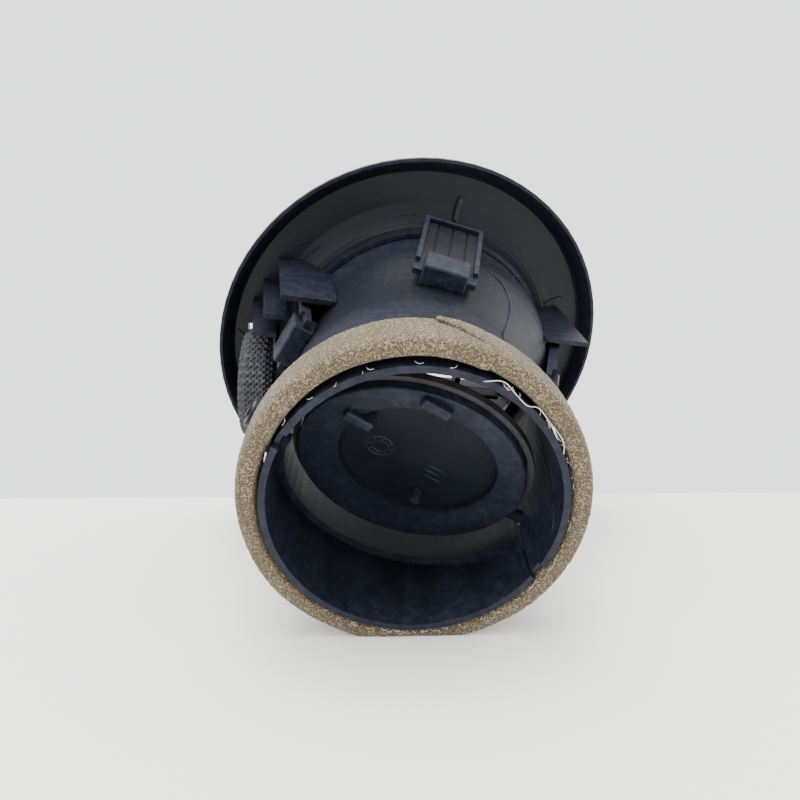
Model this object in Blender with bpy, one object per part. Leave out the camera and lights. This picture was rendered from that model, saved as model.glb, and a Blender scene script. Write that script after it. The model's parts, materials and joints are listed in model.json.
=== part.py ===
"""Round dashboard air vent, lying on the rim of its bezel and on the foam round its duct collar.

Three frames carry the parts. The duct frame has its origin at the centre of the duct mouth and +Z out of
the mouth. The bezel frame has its origin in the plane of the bezel's lip and +Z back along the vent axis,
which leans away from the duct axis. The resting frame stands both of them on the ground.
"""
import math

import bmesh
import bpy
from mathutils import Matrix, Quaternion, Vector

# Duct collar and neck
DUCT_INNER_RADIUS = 0.0310
DUCT_WALL = 0.0015
NECK_FRONT_RADIUS = 0.0395
NECK_STRAIGHT = 0.010        # length behind the bezel plane that stays on the vent axis
NECK_END = 0.050             # where the neck has reached the duct axis and the duct radius
NECK_FRONT = -0.002          # front edge of the neck, on the vent axis

# Bezel
BEZEL_RADIUS = 0.0607
BEZEL_DISTANCE = 0.0891      # from the duct mouth to the plane of the lip, along the duct axis
BEZEL_SHIFT = 0.0034         # sideways step between the two axes in the plane of the lip
BEZEL_LEAN_DOWN = math.radians(6.6)
BEZEL_LEAN_SIDE = math.radians(8.5)
BEZEL_WALL = 0.0022
LIP_DEPTH = 0.0042
LIP_FLARE = 0.0040
COLLAR_HEIGHT = 0.0045       # how far the bezel climbs the neck
COVE_WIDTH = 0.0090

# Foam strip
FOAM_THICKNESS = 0.0052
FOAM_WIDTH = 0.0130
FOAM_SQUASHED = 0.0022       # thickness left where the foam carries the weight

# Damper flap
FLAP_DEPTH = 0.0205          # from the duct mouth to the flap's pivot
FLAP_ROLL = math.radians(31.2)
FLAP_CLOSED = math.radians(25.0)
FLAP_RADIUS = 0.0268
FLAP_SWING = math.radians(65.0)
FLAP_THICKNESS = 0.0018
BAND_INNER_RADIUS = 0.0185
BAND_SHIFT = 0.0035          # the band's recess lies off the disc's centre, towards its upper edge
BAND_HEIGHT = 0.0022
FLAP_LUGS = ((-0.0175, 0.0085), (-0.0065, 0.0232))
FLAP_PEG = (0.0066, -0.0080)
SEAL_THICKNESS = 0.0013
STOP_SETBACK = 0.0088        # from the flap's plane to the stop ledge
STOP_RADIUS = 0.0280
STOP_THICKNESS = 0.0018
PIN_RADIUS = 0.0015

# Thumbwheel and linkage
HAND_ROLL = math.radians(11.0)      # roll of the clips, the ribs and the barrel round the axis
WHEEL_ROLL = math.radians(3.0)
WHEEL_RADIUS = 0.0170
WHEEL_WIDTH = 0.0096
WHEEL_REACH = 0.0466         # from the vent axis to the middle of the wheel's width
WHEEL_DROP = -0.0125         # how far the wheel's centre lies off the level of the vent axis
WHEEL_DEPTH = 0.0075         # from the bezel plane back to the wheel's centre
WHEEL_GRIPS = 44
GRIP_DEPTH = 0.0005
CRANK_LENGTH = 0.0070
CRANK_PIN_RADIUS = 0.0011
CRANK_THICKNESS = 0.0018
ROD_ROOM = 0.0010            # beside the flap's crank, for the slanting rod
ROD_RADIUS = 0.0011
EYE_RADIUS = 0.0031
EYE_WIDTH = 0.0020
AXLE_RADIUS = 0.0015

# Snap arms
ARM_REACH = 0.0445           # from the vent axis to the free end
ARM_START = 0.0080           # from the bezel plane back to the free end
ARM_ROOT = 0.0380            # from the bezel plane back to the root
ARM_WIDTH = 0.0166
ARM_THICKNESS = 0.0016
ARM_RAIL = 0.0012
ARM_STANDOFF = 0.0016        # under the tongue at its root
ROOT_BLOCK_LENGTH = 0.0068
ARM_TURNS = {"top_clip": 0.0, "left_clip": -71.0, "right_clip": 78.0}

# Ribs on the back of the bezel: side, height over the axis, inner end, outer end, depth behind the
# bezel plane. An inner end inside the neck is cut to the neck.
RIB_THICKNESS = 0.0014
RIBS = (("rib_left_upper", -1, 0.0235, 0.0250, 0.0462, 0.0245),
        ("rib_left_middle", -1, 0.0158, 0.0436, 0.0497, 0.0205),
        ("rib_left_lower", -1, 0.0095, 0.0456, 0.0520, 0.0190),
        ("rib_right", 1, 0.0200, 0.0250, 0.0455, 0.0220))

# Barrel and louvres
BARREL_CLEARANCE = 0.0004
BARREL_WALL = 0.0022
BARREL_FRONT = -0.0060
BARREL_BACK = 0.0072
RETAINER_WIDTH = 0.0016
LOUVRE_COUNT = 5
LOUVRE_PITCH = 0.0110
LOUVRE_AXIS = 0.0005         # hinge line, behind the bezel plane
LOUVRE_NOSE = 0.0055         # from the hinge line to the front edge
LOUVRE_TAIL = 0.0042         # from the hinge line to the back edge
LOUVRE_THICKNESS = 0.0020
LOUVRE_SWING = math.radians(35.0)
LOUVRE_PIN_RADIUS = 0.0011
TIE_OFFSET = 0.0124          # sideways place of the tie bar's lugs
TIE_ARM = 0.0072             # from the hinge line back to the tie pins
TIE_PIN_RADIUS = 0.0008
TIE_WIDTH = 0.0034

GAP = 0.0003                 # between pieces that touch
RUNNING = 0.0003             # between pieces that turn
ROUND = 64
MEDIUM = 40
SMALL = 20

DUCT_OUTER_RADIUS = DUCT_INNER_RADIUS + DUCT_WALL
BARREL_RADIUS = NECK_FRONT_RADIUS - DUCT_WALL - BARREL_CLEARANCE
LOUVRE_ROOM = BARREL_RADIUS - BARREL_WALL
CRANK_NEAR = DUCT_OUTER_RADIUS + 0.0008
CRANK_FAR = CRANK_NEAR + CRANK_THICKNESS
COVE_START = NECK_FRONT_RADIUS + GAP + 0.0012
UPRIGHT = Quaternion((1, 0, 0), BEZEL_LEAN_DOWN)
BEZEL_TURN = Quaternion((0, 1, 0), BEZEL_LEAN_SIDE) @ UPRIGHT
BEZEL_CENTRE = Vector((BEZEL_SHIFT, 0.0, -BEZEL_DISTANCE))


# ---------------------------------------------------------------- scene helpers

def clear_scene():
    for old in list(bpy.data.objects):
        bpy.data.objects.remove(old, do_unlink=True)


def plastic(name, color, roughness, metallic=0.0):
    material = bpy.data.materials.new(name)
    material.use_nodes = True
    shader = material.node_tree.nodes["Principled BSDF"]
    shader.inputs["Base Color"].default_value = (*color, 1.0)
    shader.inputs["Roughness"].default_value = roughness
    shader.inputs["Metallic"].default_value = metallic
    material.diffuse_color = (*color, 1.0)
    return material


def make_frame(name, parent, location, turn):
    frame = bpy.data.objects.new(name, None)
    bpy.context.scene.collection.objects.link(frame)
    frame.parent = parent
    frame.location = location
    frame.rotation_mode = "QUATERNION"
    frame.rotation_quaternion = turn
    return frame


def make_object(name, mesh_data, parent, material):
    bmesh.ops.recalc_face_normals(mesh_data, faces=mesh_data.faces)
    mesh = bpy.data.meshes.new(name)
    mesh_data.to_mesh(mesh)
    mesh_data.free()
    made = bpy.data.objects.new(name, mesh)
    bpy.context.scene.collection.objects.link(made)
    made.parent = parent
    mesh.materials.append(material)
    return made


def smooth(made, angle=30.0):
    made.data.shade_smooth()
    made.data.set_sharp_from_angle(angle=math.radians(angle))
    return made


def combine(body, tool, operation):
    """Join, cut or intersect body with tool, which is used up."""
    modifier = body.modifiers.new("Combine", "BOOLEAN")
    modifier.operation = operation
    modifier.solver = "EXACT"
    modifier.object = tool
    bpy.context.view_layer.update()
    evaluated = body.evaluated_get(bpy.context.evaluated_depsgraph_get())
    mesh = bpy.data.meshes.new_from_object(evaluated)
    body.modifiers.clear()
    body.data = mesh
    bpy.data.objects.remove(tool, do_unlink=True)
    return body


# ---------------------------------------------------------------- shape helpers

def skin_rings(rings, closed_path):
    """Quads between neighbouring rings of points; the ends are capped unless the path closes."""
    data = bmesh.new()
    loops = [[data.verts.new(point) for point in ring] for ring in rings]
    count = len(loops[0])
    pairs = list(zip(loops, loops[1:]))
    if closed_path:
        pairs.append((loops[-1], loops[0]))
    for first, second in pairs:
        for i in range(count):
            j = (i + 1) % count
            data.faces.new((first[i], first[j], second[j], second[i]))
    if not closed_path:
        data.faces.new(loops[0])
        data.faces.new(loops[-1])
    return data


def circle_points(radius, height, count):
    angles = [2 * math.pi * i / count for i in range(count)]
    return [Vector((radius * math.cos(a), radius * math.sin(a), height)) for a in angles]


def turned(name, profile, parent, material, count=ROUND):
    """A ring turned round Z from a closed outline of (radius, height) points."""
    rings = [circle_points(radius, height, count) for radius, height in profile]
    return smooth(make_object(name, skin_rings(rings, True), parent, material))


def rod(name, start, end, radius, parent, material, count=SMALL):
    """A plain round bar between two points."""
    start, end = Vector(start), Vector(end)
    turn = (end - start).to_track_quat("Z", "Y")
    rings = []
    for height in (0.0, (end - start).length):
        rings.append([start + turn @ point for point in circle_points(radius, height, count)])
    return smooth(make_object(name, skin_rings(rings, False), parent, material))


def block(name, low, high, parent, material, edge=0.0):
    """A box between two corners, with its edges rounded off when an edge width is given."""
    low, high = Vector(low), Vector(high)
    data = bmesh.new()
    middle = Matrix.Translation((low + high) / 2)
    bmesh.ops.create_cube(data, size=1.0, matrix=middle @ Matrix.Diagonal((*(high - low), 1.0)))
    if edge > 0.0:
        bmesh.ops.bevel(data, geom=data.edges[:], offset=edge, segments=1, affect="EDGES")
    return make_object(name, data, parent, material)


def prism(name, outline, low, high, parent, material, axis="Z"):
    """A flat outline pushed from low to high along an axis; the outline lies across that axis."""
    def place(a, b, c):
        return {"Z": (a, b, c), "X": (c, a, b), "Y": (a, c, b)}[axis]
    rings = [[Vector(place(a, b, level)) for a, b in outline] for level in (low, high)]
    return make_object(name, skin_rings(rings, False), parent, material)


def smoothstep(value):
    value = min(1.0, max(0.0, value))
    return value * value * (3 - 2 * value)


# ---------------------------------------------------------------- neck

def neck_weight(depth):
    return smoothstep((depth - NECK_STRAIGHT) / (NECK_END - NECK_STRAIGHT))


def neck_radius(depth):
    return NECK_FRONT_RADIUS + (DUCT_OUTER_RADIUS - NECK_FRONT_RADIUS) * neck_weight(depth)


def neck_place(depth):
    """Centre and turn of the neck at a depth behind the bezel plane, in the duct frame."""
    on_vent_axis = BEZEL_CENTRE + BEZEL_TURN @ Vector((0, 0, depth))
    on_duct_axis = Vector((0, 0, depth - BEZEL_DISTANCE))
    weight = neck_weight(depth)
    centre = on_vent_axis.lerp(on_duct_axis, weight)
    return centre, BEZEL_TURN.slerp(Quaternion(), weight)


def neck_ring(depth, radius):
    centre, turn = neck_place(depth)
    return [centre + turn @ point for point in circle_points(radius, 0.0, ROUND)]


def neck_depths():
    steps = 9
    bend = [NECK_STRAIGHT + (NECK_END - NECK_STRAIGHT) * i / steps for i in range(steps + 1)]
    return [NECK_FRONT, *bend, BEZEL_DISTANCE]


def neck_room(duct_frame, material):
    """Cutter that leaves a gap between the neck and what stands on it."""
    rings = [neck_ring(depth, neck_radius(depth) + GAP) for depth in neck_depths()]
    return make_object("room", skin_rings(rings, False), duct_frame, material)


def build_housing(duct_frame, material):
    """Neck and duct collar in one moulding, with the stop ledge and the two pin slots."""
    depths = neck_depths()
    outer = [neck_ring(depth, neck_radius(depth)) for depth in depths]
    inner = [neck_ring(depth, neck_radius(depth) - DUCT_WALL) for depth in reversed(depths)]
    housing = make_object("housing", skin_rings(outer + inner, True), duct_frame, material)
    combine(housing, stop_ledge(duct_frame, material), "UNION")
    for side in (-1, 1):
        combine(housing, pin_slot(side, duct_frame, material), "DIFFERENCE")
    return smooth(housing)


def flap_turn(angle):
    return Quaternion((0, 0, 1), -FLAP_ROLL) @ Quaternion((1, 0, 0), angle)


def stop_ledge(duct_frame, material):
    """Half ring on the duct wall, parallel to the closed flap and behind its lower half."""
    reach = DUCT_INNER_RADIUS * 1.25
    half = [math.pi * (1 + i / MEDIUM) for i in range(MEDIUM + 1)]
    outline = [(STOP_RADIUS * math.cos(a), STOP_RADIUS * math.sin(a)) for a in half]
    outline += [(reach * math.cos(a), reach * math.sin(a)) for a in reversed(half)]
    ledge = prism("ledge", outline, STOP_SETBACK, STOP_SETBACK + STOP_THICKNESS, duct_frame, material)
    turn = flap_turn(FLAP_CLOSED)
    ledge.data.transform(Matrix.Translation((0, 0, -FLAP_DEPTH)) @ turn.to_matrix().to_4x4())
    core_end = (0, 0, -BEZEL_DISTANCE / 2)
    core = rod("core", core_end, (0, 0, GAP), DUCT_INNER_RADIUS + DUCT_WALL / 2,
               duct_frame, material, ROUND)
    return combine(ledge, core, "INTERSECT")


def pin_slot(side, duct_frame, material):
    """Cutter for the slot that lets a flap pin slide in from the duct mouth."""
    half = PIN_RADIUS + RUNNING
    turn = flap_turn(0.0).to_matrix().to_4x4()
    near, far = sorted((side * (DUCT_INNER_RADIUS - DUCT_WALL), side * (DUCT_OUTER_RADIUS + DUCT_WALL)))
    slot = block("slot", (near, -half, -FLAP_DEPTH), (far, half, DUCT_WALL), duct_frame, material)
    seat = rod("seat", (near, 0, -FLAP_DEPTH), (far, 0, -FLAP_DEPTH), half, duct_frame, material)
    combine(slot, seat, "UNION")
    slot.data.transform(turn)
    return slot


def build_pin_keepers(flap_root, material):
    """Bars that close the slots behind the flap pins and leave a notch at the rim."""
    notch = 0.0016
    half = PIN_RADIUS
    for side, name in ((-1, "pin_keeper_left"), (1, "pin_keeper_right")):
        near, far = sorted((side * (DUCT_INNER_RADIUS + GAP), side * (DUCT_OUTER_RADIUS - GAP / 2)))
        block(name, (near, -half, PIN_RADIUS + RUNNING * 2), (far, half, FLAP_DEPTH - notch),
              flap_root, material)


# ---------------------------------------------------------------- bezel

def bezel_back_points():
    """The bezel's back from the neck outwards: a cove that climbs the neck, then the dished floor."""
    steps = 7
    rise = COLLAR_HEIGHT + LIP_DEPTH - 0.0008
    points = []
    for i in range(steps + 1):
        share = (i / steps) ** 2
        height = COLLAR_HEIGHT - rise * math.sqrt(1 - (1 - share) ** 2)
        points.append((COVE_START + COVE_WIDTH * share, height))
    return points


def build_bezel(bezel_frame, wheel_frame, material):
    """Dished flange with a turned lip, and a slot for the thumbwheel."""
    inside = NECK_FRONT_RADIUS + GAP
    floor = BEZEL_RADIUS - LIP_FLARE - 0.0005
    wall = BEZEL_WALL
    back = [(inside, COLLAR_HEIGHT)] + bezel_back_points()
    back += [(floor, -LIP_DEPTH), (floor + 0.0008, -LIP_DEPTH + 0.0006), (BEZEL_RADIUS - 0.0009, 0.0)]
    rim = [(BEZEL_RADIUS, 0.0), (BEZEL_RADIUS, -0.0012), (BEZEL_RADIUS - 0.0009, -0.0034)]
    front = [(floor, -LIP_DEPTH - wall), (inside + 0.0080, -LIP_DEPTH - wall),
             (inside + 0.0030, -LIP_DEPTH - wall + 0.0006), (inside, -LIP_DEPTH - wall + 0.0016)]
    bezel = turned("bezel", back + rim + front, bezel_frame, material, 72)
    room = WHEEL_WIDTH / 2 + 2 * RUNNING
    chord = math.sqrt(WHEEL_RADIUS ** 2 - (WHEEL_DEPTH + LIP_DEPTH - 0.003) ** 2) + 0.0012
    slot = block("slot", (-room, -chord, -0.030), (room, chord, -WHEEL_DEPTH + 0.001), wheel_frame, material)
    return smooth(combine(bezel, slot, "DIFFERENCE"))


def build_trim_ring(bezel_frame, material):
    """Ring on the front of the bezel; its inner edge keeps the barrel in."""
    inner = BARREL_RADIUS - 0.0012
    outer = NECK_FRONT_RADIUS + 0.0004
    front = BARREL_FRONT - RUNNING - 0.0016
    back = BARREL_FRONT - RUNNING
    outline = [(outer, back), (outer, front + 0.0005), (outer - 0.0006, front),
               (inner + 0.0006, front), (inner, front + 0.0006), (inner, back)]
    turned("trim_ring", outline, bezel_frame, material)


def build_retainer_ring(bezel_frame, material):
    outer = NECK_FRONT_RADIUS - DUCT_WALL - GAP
    front = BARREL_BACK + RUNNING
    outline = [(outer, front + RETAINER_WIDTH), (outer, front), (LOUVRE_ROOM, front),
               (LOUVRE_ROOM, front + RETAINER_WIDTH)]
    turned("retainer_ring", outline, bezel_frame, material)


# ---------------------------------------------------------------- foam

def build_foam(duct_frame, rest_height, rest_turn, material):
    """Strip wrapped round the collar, cut flat where the part rests on it."""
    inner = DUCT_OUTER_RADIUS + GAP
    outer = DUCT_OUTER_RADIUS + FOAM_THICKNESS
    back = -0.0004
    front = back - FOAM_WIDTH
    edge = 0.0014
    outline = [(inner, back), (inner, front), (outer - edge, front), (outer - edge / 3, front + edge / 3),
               (outer, front + edge), (outer, back - edge), (outer - edge / 3, back - edge / 3),
               (outer - edge, back)]
    foam = turned("foam_seal", outline, duct_frame, material)
    ground = block("ground", (-0.1, -0.1, -0.1), (0.1, 0.1, 0.0), duct_frame, material)
    resting = Matrix.Translation((0, 0, rest_height)) @ rest_turn.to_matrix().to_4x4()
    ground.data.transform(resting.inverted())
    return smooth(combine(foam, ground, "DIFFERENCE"))


# ---------------------------------------------------------------- damper flap

def build_flap(flap_frame, material, seal_material):
    """Disc with a raised band on its back, a seal round its edge and two stub pins."""
    half = FLAP_THICKNESS / 2
    top = half + BAND_HEIGHT
    outline = [(FLAP_RADIUS, -half), (FLAP_RADIUS, top - 0.0003), (FLAP_RADIUS - 0.0003, top)]
    rings = [circle_points(radius, height, ROUND) for radius, height in outline]
    disc = make_object("flap_disc", skin_rings(rings, False), flap_frame, material)
    recess = rod("recess", (0, BAND_SHIFT, half), (0, BAND_SHIFT, top + 0.001), BAND_INNER_RADIUS,
                 flap_frame, material, MEDIUM)
    combine(disc, recess, "DIFFERENCE")
    for x, y in FLAP_LUGS:
        lug = block("lug", (x - 0.0034, y - 0.0013, half), (x + 0.0034, y + 0.0013, top + 0.0016),
                    flap_frame, material, 0.0003)
        combine(disc, lug, "UNION")
    for side, reach in ((-1, DUCT_OUTER_RADIUS + 0.0034), (1, DUCT_OUTER_RADIUS + 0.0002)):
        name = "flap_pin_left" if side < 0 else "flap_pin_right"
        start = (side * (FLAP_RADIUS - 0.0030), 0, 0)
        rod(name, start, (side * reach, 0, 0), PIN_RADIUS, flap_frame, material)
        bore = rod("bore", (start[0] - side * GAP, 0, 0), (side * reach, 0, 0), PIN_RADIUS + GAP,
                   flap_frame, material)
        combine(disc, bore, "DIFFERENCE")
    smooth(disc)
    build_flap_seal(flap_frame, seal_material)
    rod("flap_peg", (*FLAP_PEG, half + GAP), (*FLAP_PEG, top + 0.0010), 0.0013, flap_frame, material)


def build_flap_seal(flap_frame, material):
    """Two half rings round the disc, which stop short of the pins."""
    inner = FLAP_RADIUS + GAP
    outer = inner + SEAL_THICKNESS
    start = math.asin((PIN_RADIUS + 2 * GAP) / inner)
    arc = [start + (math.pi - 2 * start) * i / 28 for i in range(29)]
    for side, name in ((1, "flap_seal_upper"), (-1, "flap_seal_lower")):
        outline = [(inner * math.cos(a), side * inner * math.sin(a)) for a in arc]
        outline += [(outer * math.cos(a), side * outer * math.sin(a)) for a in reversed(arc)]
        smooth(prism(name, outline, -FLAP_THICKNESS / 2, FLAP_THICKNESS / 2, flap_frame, material))


def crank_outline(reach, hub, tip):
    """Outline of a lever that tapers from a hub at 0 to a tip at reach along +X."""
    tangent = math.acos((hub - tip) / reach)
    points = []
    for i in range(9):
        a = tangent + (2 * math.pi - 2 * tangent) * i / 8
        points.append((hub * math.cos(a), hub * math.sin(a)))
    for i in range(7):
        a = -tangent + 2 * tangent * i / 6
        points.append((reach + tip * math.cos(a), tip * math.sin(a)))
    return points


def crank_vector():
    """From a pivot to its crank pin at rest; half a swing later it points straight down."""
    angle = -FLAP_SWING / 2
    return Vector((0, -math.cos(angle), -math.sin(angle))) * CRANK_LENGTH


def build_flap_crank(flap_root, material):
    near, far = -CRANK_NEAR, -CRANK_FAR
    outline = crank_outline(CRANK_LENGTH, 0.0031, 0.0020)
    crank = prism("flap_crank", outline, far, near, flap_root, material, "X")
    lean = math.atan2(crank_vector().z, crank_vector().y)
    crank.data.transform(Matrix.Rotation(lean, 4, "X"))
    bore = rod("bore", (far - 0.001, 0, 0), (near + 0.001, 0, 0), PIN_RADIUS + GAP, flap_root, material)
    combine(crank, bore, "DIFFERENCE")
    pin = crank_vector()
    tip = rod("tip", (far + 0.0005, pin.y, pin.z), (far - ROD_ROOM - EYE_WIDTH - 0.0006, pin.y, pin.z),
              CRANK_PIN_RADIUS, flap_root, material)
    return smooth(combine(crank, tip, "UNION"))


# ---------------------------------------------------------------- thumbwheel and rod

def build_thumbwheel(wheel_frame, material):
    """Wheel with a crowned, gripped rim, a bore for its axle and a crank pin on its inner side."""
    half = WHEEL_WIDTH / 2
    rings = []
    for level, crown in ((-half, 0.0012), (-half * 0.55, 0.0002), (half * 0.55, 0.0002), (half, 0.0012)):
        ring = []
        for i in range(WHEEL_GRIPS * 2):
            angle = math.pi * i / WHEEL_GRIPS
            radius = WHEEL_RADIUS - crown - (GRIP_DEPTH if i % 2 else 0.0)
            ring.append(Vector((level, radius * math.cos(angle), radius * math.sin(angle))))
        rings.append(ring)
    wheel = make_object("thumbwheel", skin_rings(rings, False), wheel_frame, material)
    bore = rod("bore", (-half - 0.001, 0, 0), (half + 0.001, 0, 0), AXLE_RADIUS + RUNNING,
               wheel_frame, material)
    combine(wheel, bore, "DIFFERENCE")
    pin = crank_vector()
    tip = rod("tip", (half - 0.001, pin.y, pin.z), (half + RUNNING + EYE_WIDTH + 0.0004, pin.y, pin.z),
              CRANK_PIN_RADIUS, wheel_frame, material)
    combine(wheel, tip, "UNION")
    return smooth(wheel, 20.0)


def build_wheel_bracket(wheel_frame, material):
    """Ear that carries the axle on the outer side, with its foot on the bezel."""
    near = -(WHEEL_WIDTH / 2 + RUNNING)
    far = near - 0.0015
    foot = -(WHEEL_DEPTH + LIP_DEPTH - 0.0028)
    outline = [(-0.0060, foot), (0.0060, foot), (0.0042, 0.0010), (0.0022, 0.0038), (-0.0022, 0.0038),
               (-0.0042, 0.0010)]
    bracket = prism("wheel_bracket", outline, far, near, wheel_frame, material, "X")
    bore = rod("bore", (far - 0.001, 0, 0), (near + 0.001, 0, 0), AXLE_RADIUS + GAP, wheel_frame, material)
    smooth(combine(bracket, bore, "DIFFERENCE"))
    rod("wheel_axle", (far - 0.0006, 0, 0), (WHEEL_WIDTH / 2 + 0.0004, 0, 0), AXLE_RADIUS,
        wheel_frame, material)


def build_link_rod(duct_frame, wheel_place, flap_place, material):
    """Rod between the two crank pins; the eye at the flap has room for the rod's small skew."""
    wheel_pin = wheel_place @ (crank_vector() + Vector((WHEEL_WIDTH / 2 + RUNNING, 0, 0)))
    wheel_far = wheel_place @ (crank_vector() + Vector((WHEEL_WIDTH / 2 + RUNNING + EYE_WIDTH, 0, 0)))
    outward = -(CRANK_FAR + ROD_ROOM)
    flap_pin = flap_place @ (crank_vector() + Vector((outward, 0, 0)))
    flap_far = flap_place @ (crank_vector() + Vector((outward - EYE_WIDTH, 0, 0)))
    first = (wheel_pin + wheel_far) / 2
    last = (flap_pin + flap_far) / 2
    along = (last - first).normalized() * EYE_RADIUS * 0.6
    bar = rod("link_rod", first + along, last - along, ROD_RADIUS, duct_frame, material)
    combine(bar, rod("eye", wheel_pin, wheel_far, EYE_RADIUS, duct_frame, material), "UNION")
    combine(bar, rod("eye", flap_pin, flap_far, EYE_RADIUS, duct_frame, material), "UNION")
    reach = (wheel_far - wheel_pin)
    combine(bar, rod("bore", wheel_pin - reach, wheel_far + reach, CRANK_PIN_RADIUS + RUNNING,
                     duct_frame, material), "DIFFERENCE")
    reach = (flap_far - flap_pin)
    combine(bar, rod("bore", flap_pin - reach, flap_far + reach, CRANK_PIN_RADIUS + 2.4 * RUNNING,
                     duct_frame, material), "DIFFERENCE")
    return smooth(bar)


# ---------------------------------------------------------------- snap arms and ribs

def arm_frame(name, turn, duct_frame):
    """Frame at the root of an arm: +Y runs to the free end, +Z faces out of the neck."""
    roll = Quaternion((0, 0, 1), -(HAND_ROLL + math.radians(turn)))
    start = BEZEL_CENTRE + BEZEL_TURN @ roll @ Vector((0, ARM_REACH, ARM_START))
    centre, ring_turn = neck_place(ARM_ROOT)
    foot = neck_radius(ARM_ROOT) + ARM_STANDOFF + ARM_THICKNESS
    root = centre + ring_turn @ roll @ Vector((0, foot, 0))
    long = (start - root)
    side = (BEZEL_TURN @ roll @ Vector((1, 0, 0)))
    out = side.cross(long).normalized()
    if out.dot(root - centre) < 0:
        out = -out
    y_axis = long.normalized()
    x_axis = y_axis.cross(out)
    turn_matrix = Matrix((x_axis, y_axis, out)).transposed()
    return make_frame(name, duct_frame, root, turn_matrix.to_quaternion()), long.length


def build_snap_arm(name, turn, duct_frame, material):
    """Long tongue between two rails, a bar across its free end and a block at its root."""
    frame, length = arm_frame(name + "_frame", turn, duct_frame)
    half = ARM_WIDTH / 2
    floor = -ARM_THICKNESS
    arm = block(name, (-half, 0, floor), (half, length, 0), frame, material)
    for side in (-1, 1):
        near, far = sorted((side * half, side * (half - ARM_RAIL)))
        rail = block("rail", (near, 0.004, floor / 2), (far, length - ARM_RAIL / 2, ARM_RAIL), frame, material)
        combine(arm, rail, "UNION")
    bar = block("bar", (-half, length - ARM_RAIL, floor - 0.0012), (half, length, ARM_RAIL), frame, material)
    combine(arm, bar, "UNION")
    narrow = half - ARM_RAIL - 0.0012
    root = block("root", (-narrow, -0.0010, floor - 0.006), (narrow, ROOT_BLOCK_LENGTH, 0.0022), frame,
                 material, 0.0004)
    combine(arm, root, "UNION")
    combine(arm, neck_room(duct_frame, material), "DIFFERENCE")
    for i in (-1, 0, 1):
        middle = i * ARM_WIDTH / 4
        groove = block("groove", (middle - 0.0003, ROOT_BLOCK_LENGTH + 0.001, -0.0005),
                       (middle + 0.0003, length - ARM_RAIL - 0.0006, 0.002), frame, material)
        combine(arm, groove, "DIFFERENCE")
    return arm


def build_rib(name, side, level, inside, reach, depth, frames, material):
    """Flat plate from the neck out to reach, cut to the neck and to the back of the bezel."""
    half = RIB_THICKNESS / 2
    low, high = sorted((side * inside, side * reach))
    rib = block(name, (low, level - half, -LIP_DEPTH), (high, level + half, depth), frames["bezel"], material)
    rib.data.transform(Matrix.Rotation(-HAND_ROLL, 4, "Z"))
    outline = [(radius, height + GAP) for radius, height in bezel_back_points()]
    outline += [(BEZEL_RADIUS, outline[-1][1]), (BEZEL_RADIUS, -0.02), (0.010, -0.02)]
    outline += [(0.010, COLLAR_HEIGHT + GAP)]
    combine(rib, turned("room", outline, frames["bezel"], material, 72), "DIFFERENCE")
    return combine(rib, neck_room(frames["rest"], material), "DIFFERENCE")


def build_ribs(frames, material):
    for row in RIBS:
        build_rib(*row, frames, material)


# ---------------------------------------------------------------- barrel and louvres

def louvre_levels():
    middle = (LOUVRE_COUNT - 1) / 2
    return [(i - middle) * LOUVRE_PITCH for i in range(LOUVRE_COUNT)]


def build_barrel(barrel_frame, material):
    """Turning ring that carries the louvres; its wall has a blind hole for each louvre pin."""
    inner, outer = LOUVRE_ROOM, BARREL_RADIUS
    outline = [(outer, BARREL_BACK), (outer, BARREL_FRONT), (inner + 0.0005, BARREL_FRONT),
               (inner, BARREL_FRONT + 0.0005), (inner, BARREL_BACK)]
    barrel = turned("barrel_ring", outline, barrel_frame, material)
    bottom = outer - 0.0006
    for level in louvre_levels():
        reach = math.sqrt(bottom ** 2 - level ** 2)
        hole = rod("hole", (-reach, level, LOUVRE_AXIS), (reach, level, LOUVRE_AXIS),
                   LOUVRE_PIN_RADIUS + RUNNING, barrel_frame, material)
        combine(barrel, hole, "DIFFERENCE")
    return smooth(barrel)


def louvre_half_width(level):
    swing = (LOUVRE_NOSE + 0.0004) * math.sin(LOUVRE_SWING) + LOUVRE_THICKNESS / 2
    return math.sqrt((LOUVRE_ROOM - 0.0006) ** 2 - (abs(level) + swing) ** 2)


def build_louvre(index, level, barrel_frame, material):
    """Blade with stub pins at its ends and a lug with a tie pin behind it."""
    frame = make_frame(f"louvre_{index}_frame", barrel_frame, (0, level, LOUVRE_AXIS), Quaternion())
    half = LOUVRE_THICKNESS / 2
    width = louvre_half_width(level)
    nose, tail = -LOUVRE_NOSE, LOUVRE_TAIL
    outline = [(half * 0.5, nose), (half, nose + 0.0010), (half, 0.0), (half * 0.6, tail),
               (-half * 0.6, tail), (-half, 0.0), (-half, nose + 0.0010), (-half * 0.5, nose)]
    blade = prism(f"louvre_{index}", outline, -width, width, frame, material, "X")
    bottom = BARREL_RADIUS - 0.0006 - RUNNING
    reach = math.sqrt(bottom ** 2 - (abs(level) + LOUVRE_PIN_RADIUS) ** 2)
    pins = rod("pins", (-reach, 0, 0), (reach, 0, 0), LOUVRE_PIN_RADIUS, frame, material, 12)
    combine(blade, pins, "UNION")
    lug = block("lug", (TIE_OFFSET - 0.0014, -half * 0.7, tail - 0.001),
                (TIE_OFFSET, half * 0.7, TIE_ARM + 0.0008), frame, material)
    combine(blade, lug, "UNION")
    pin = rod("pin", (TIE_OFFSET - 0.0005, 0, TIE_ARM),
              (TIE_OFFSET + RUNNING + 0.0024, 0, TIE_ARM), TIE_PIN_RADIUS, frame, material, 12)
    return smooth(combine(blade, pin, "UNION"))


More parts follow.
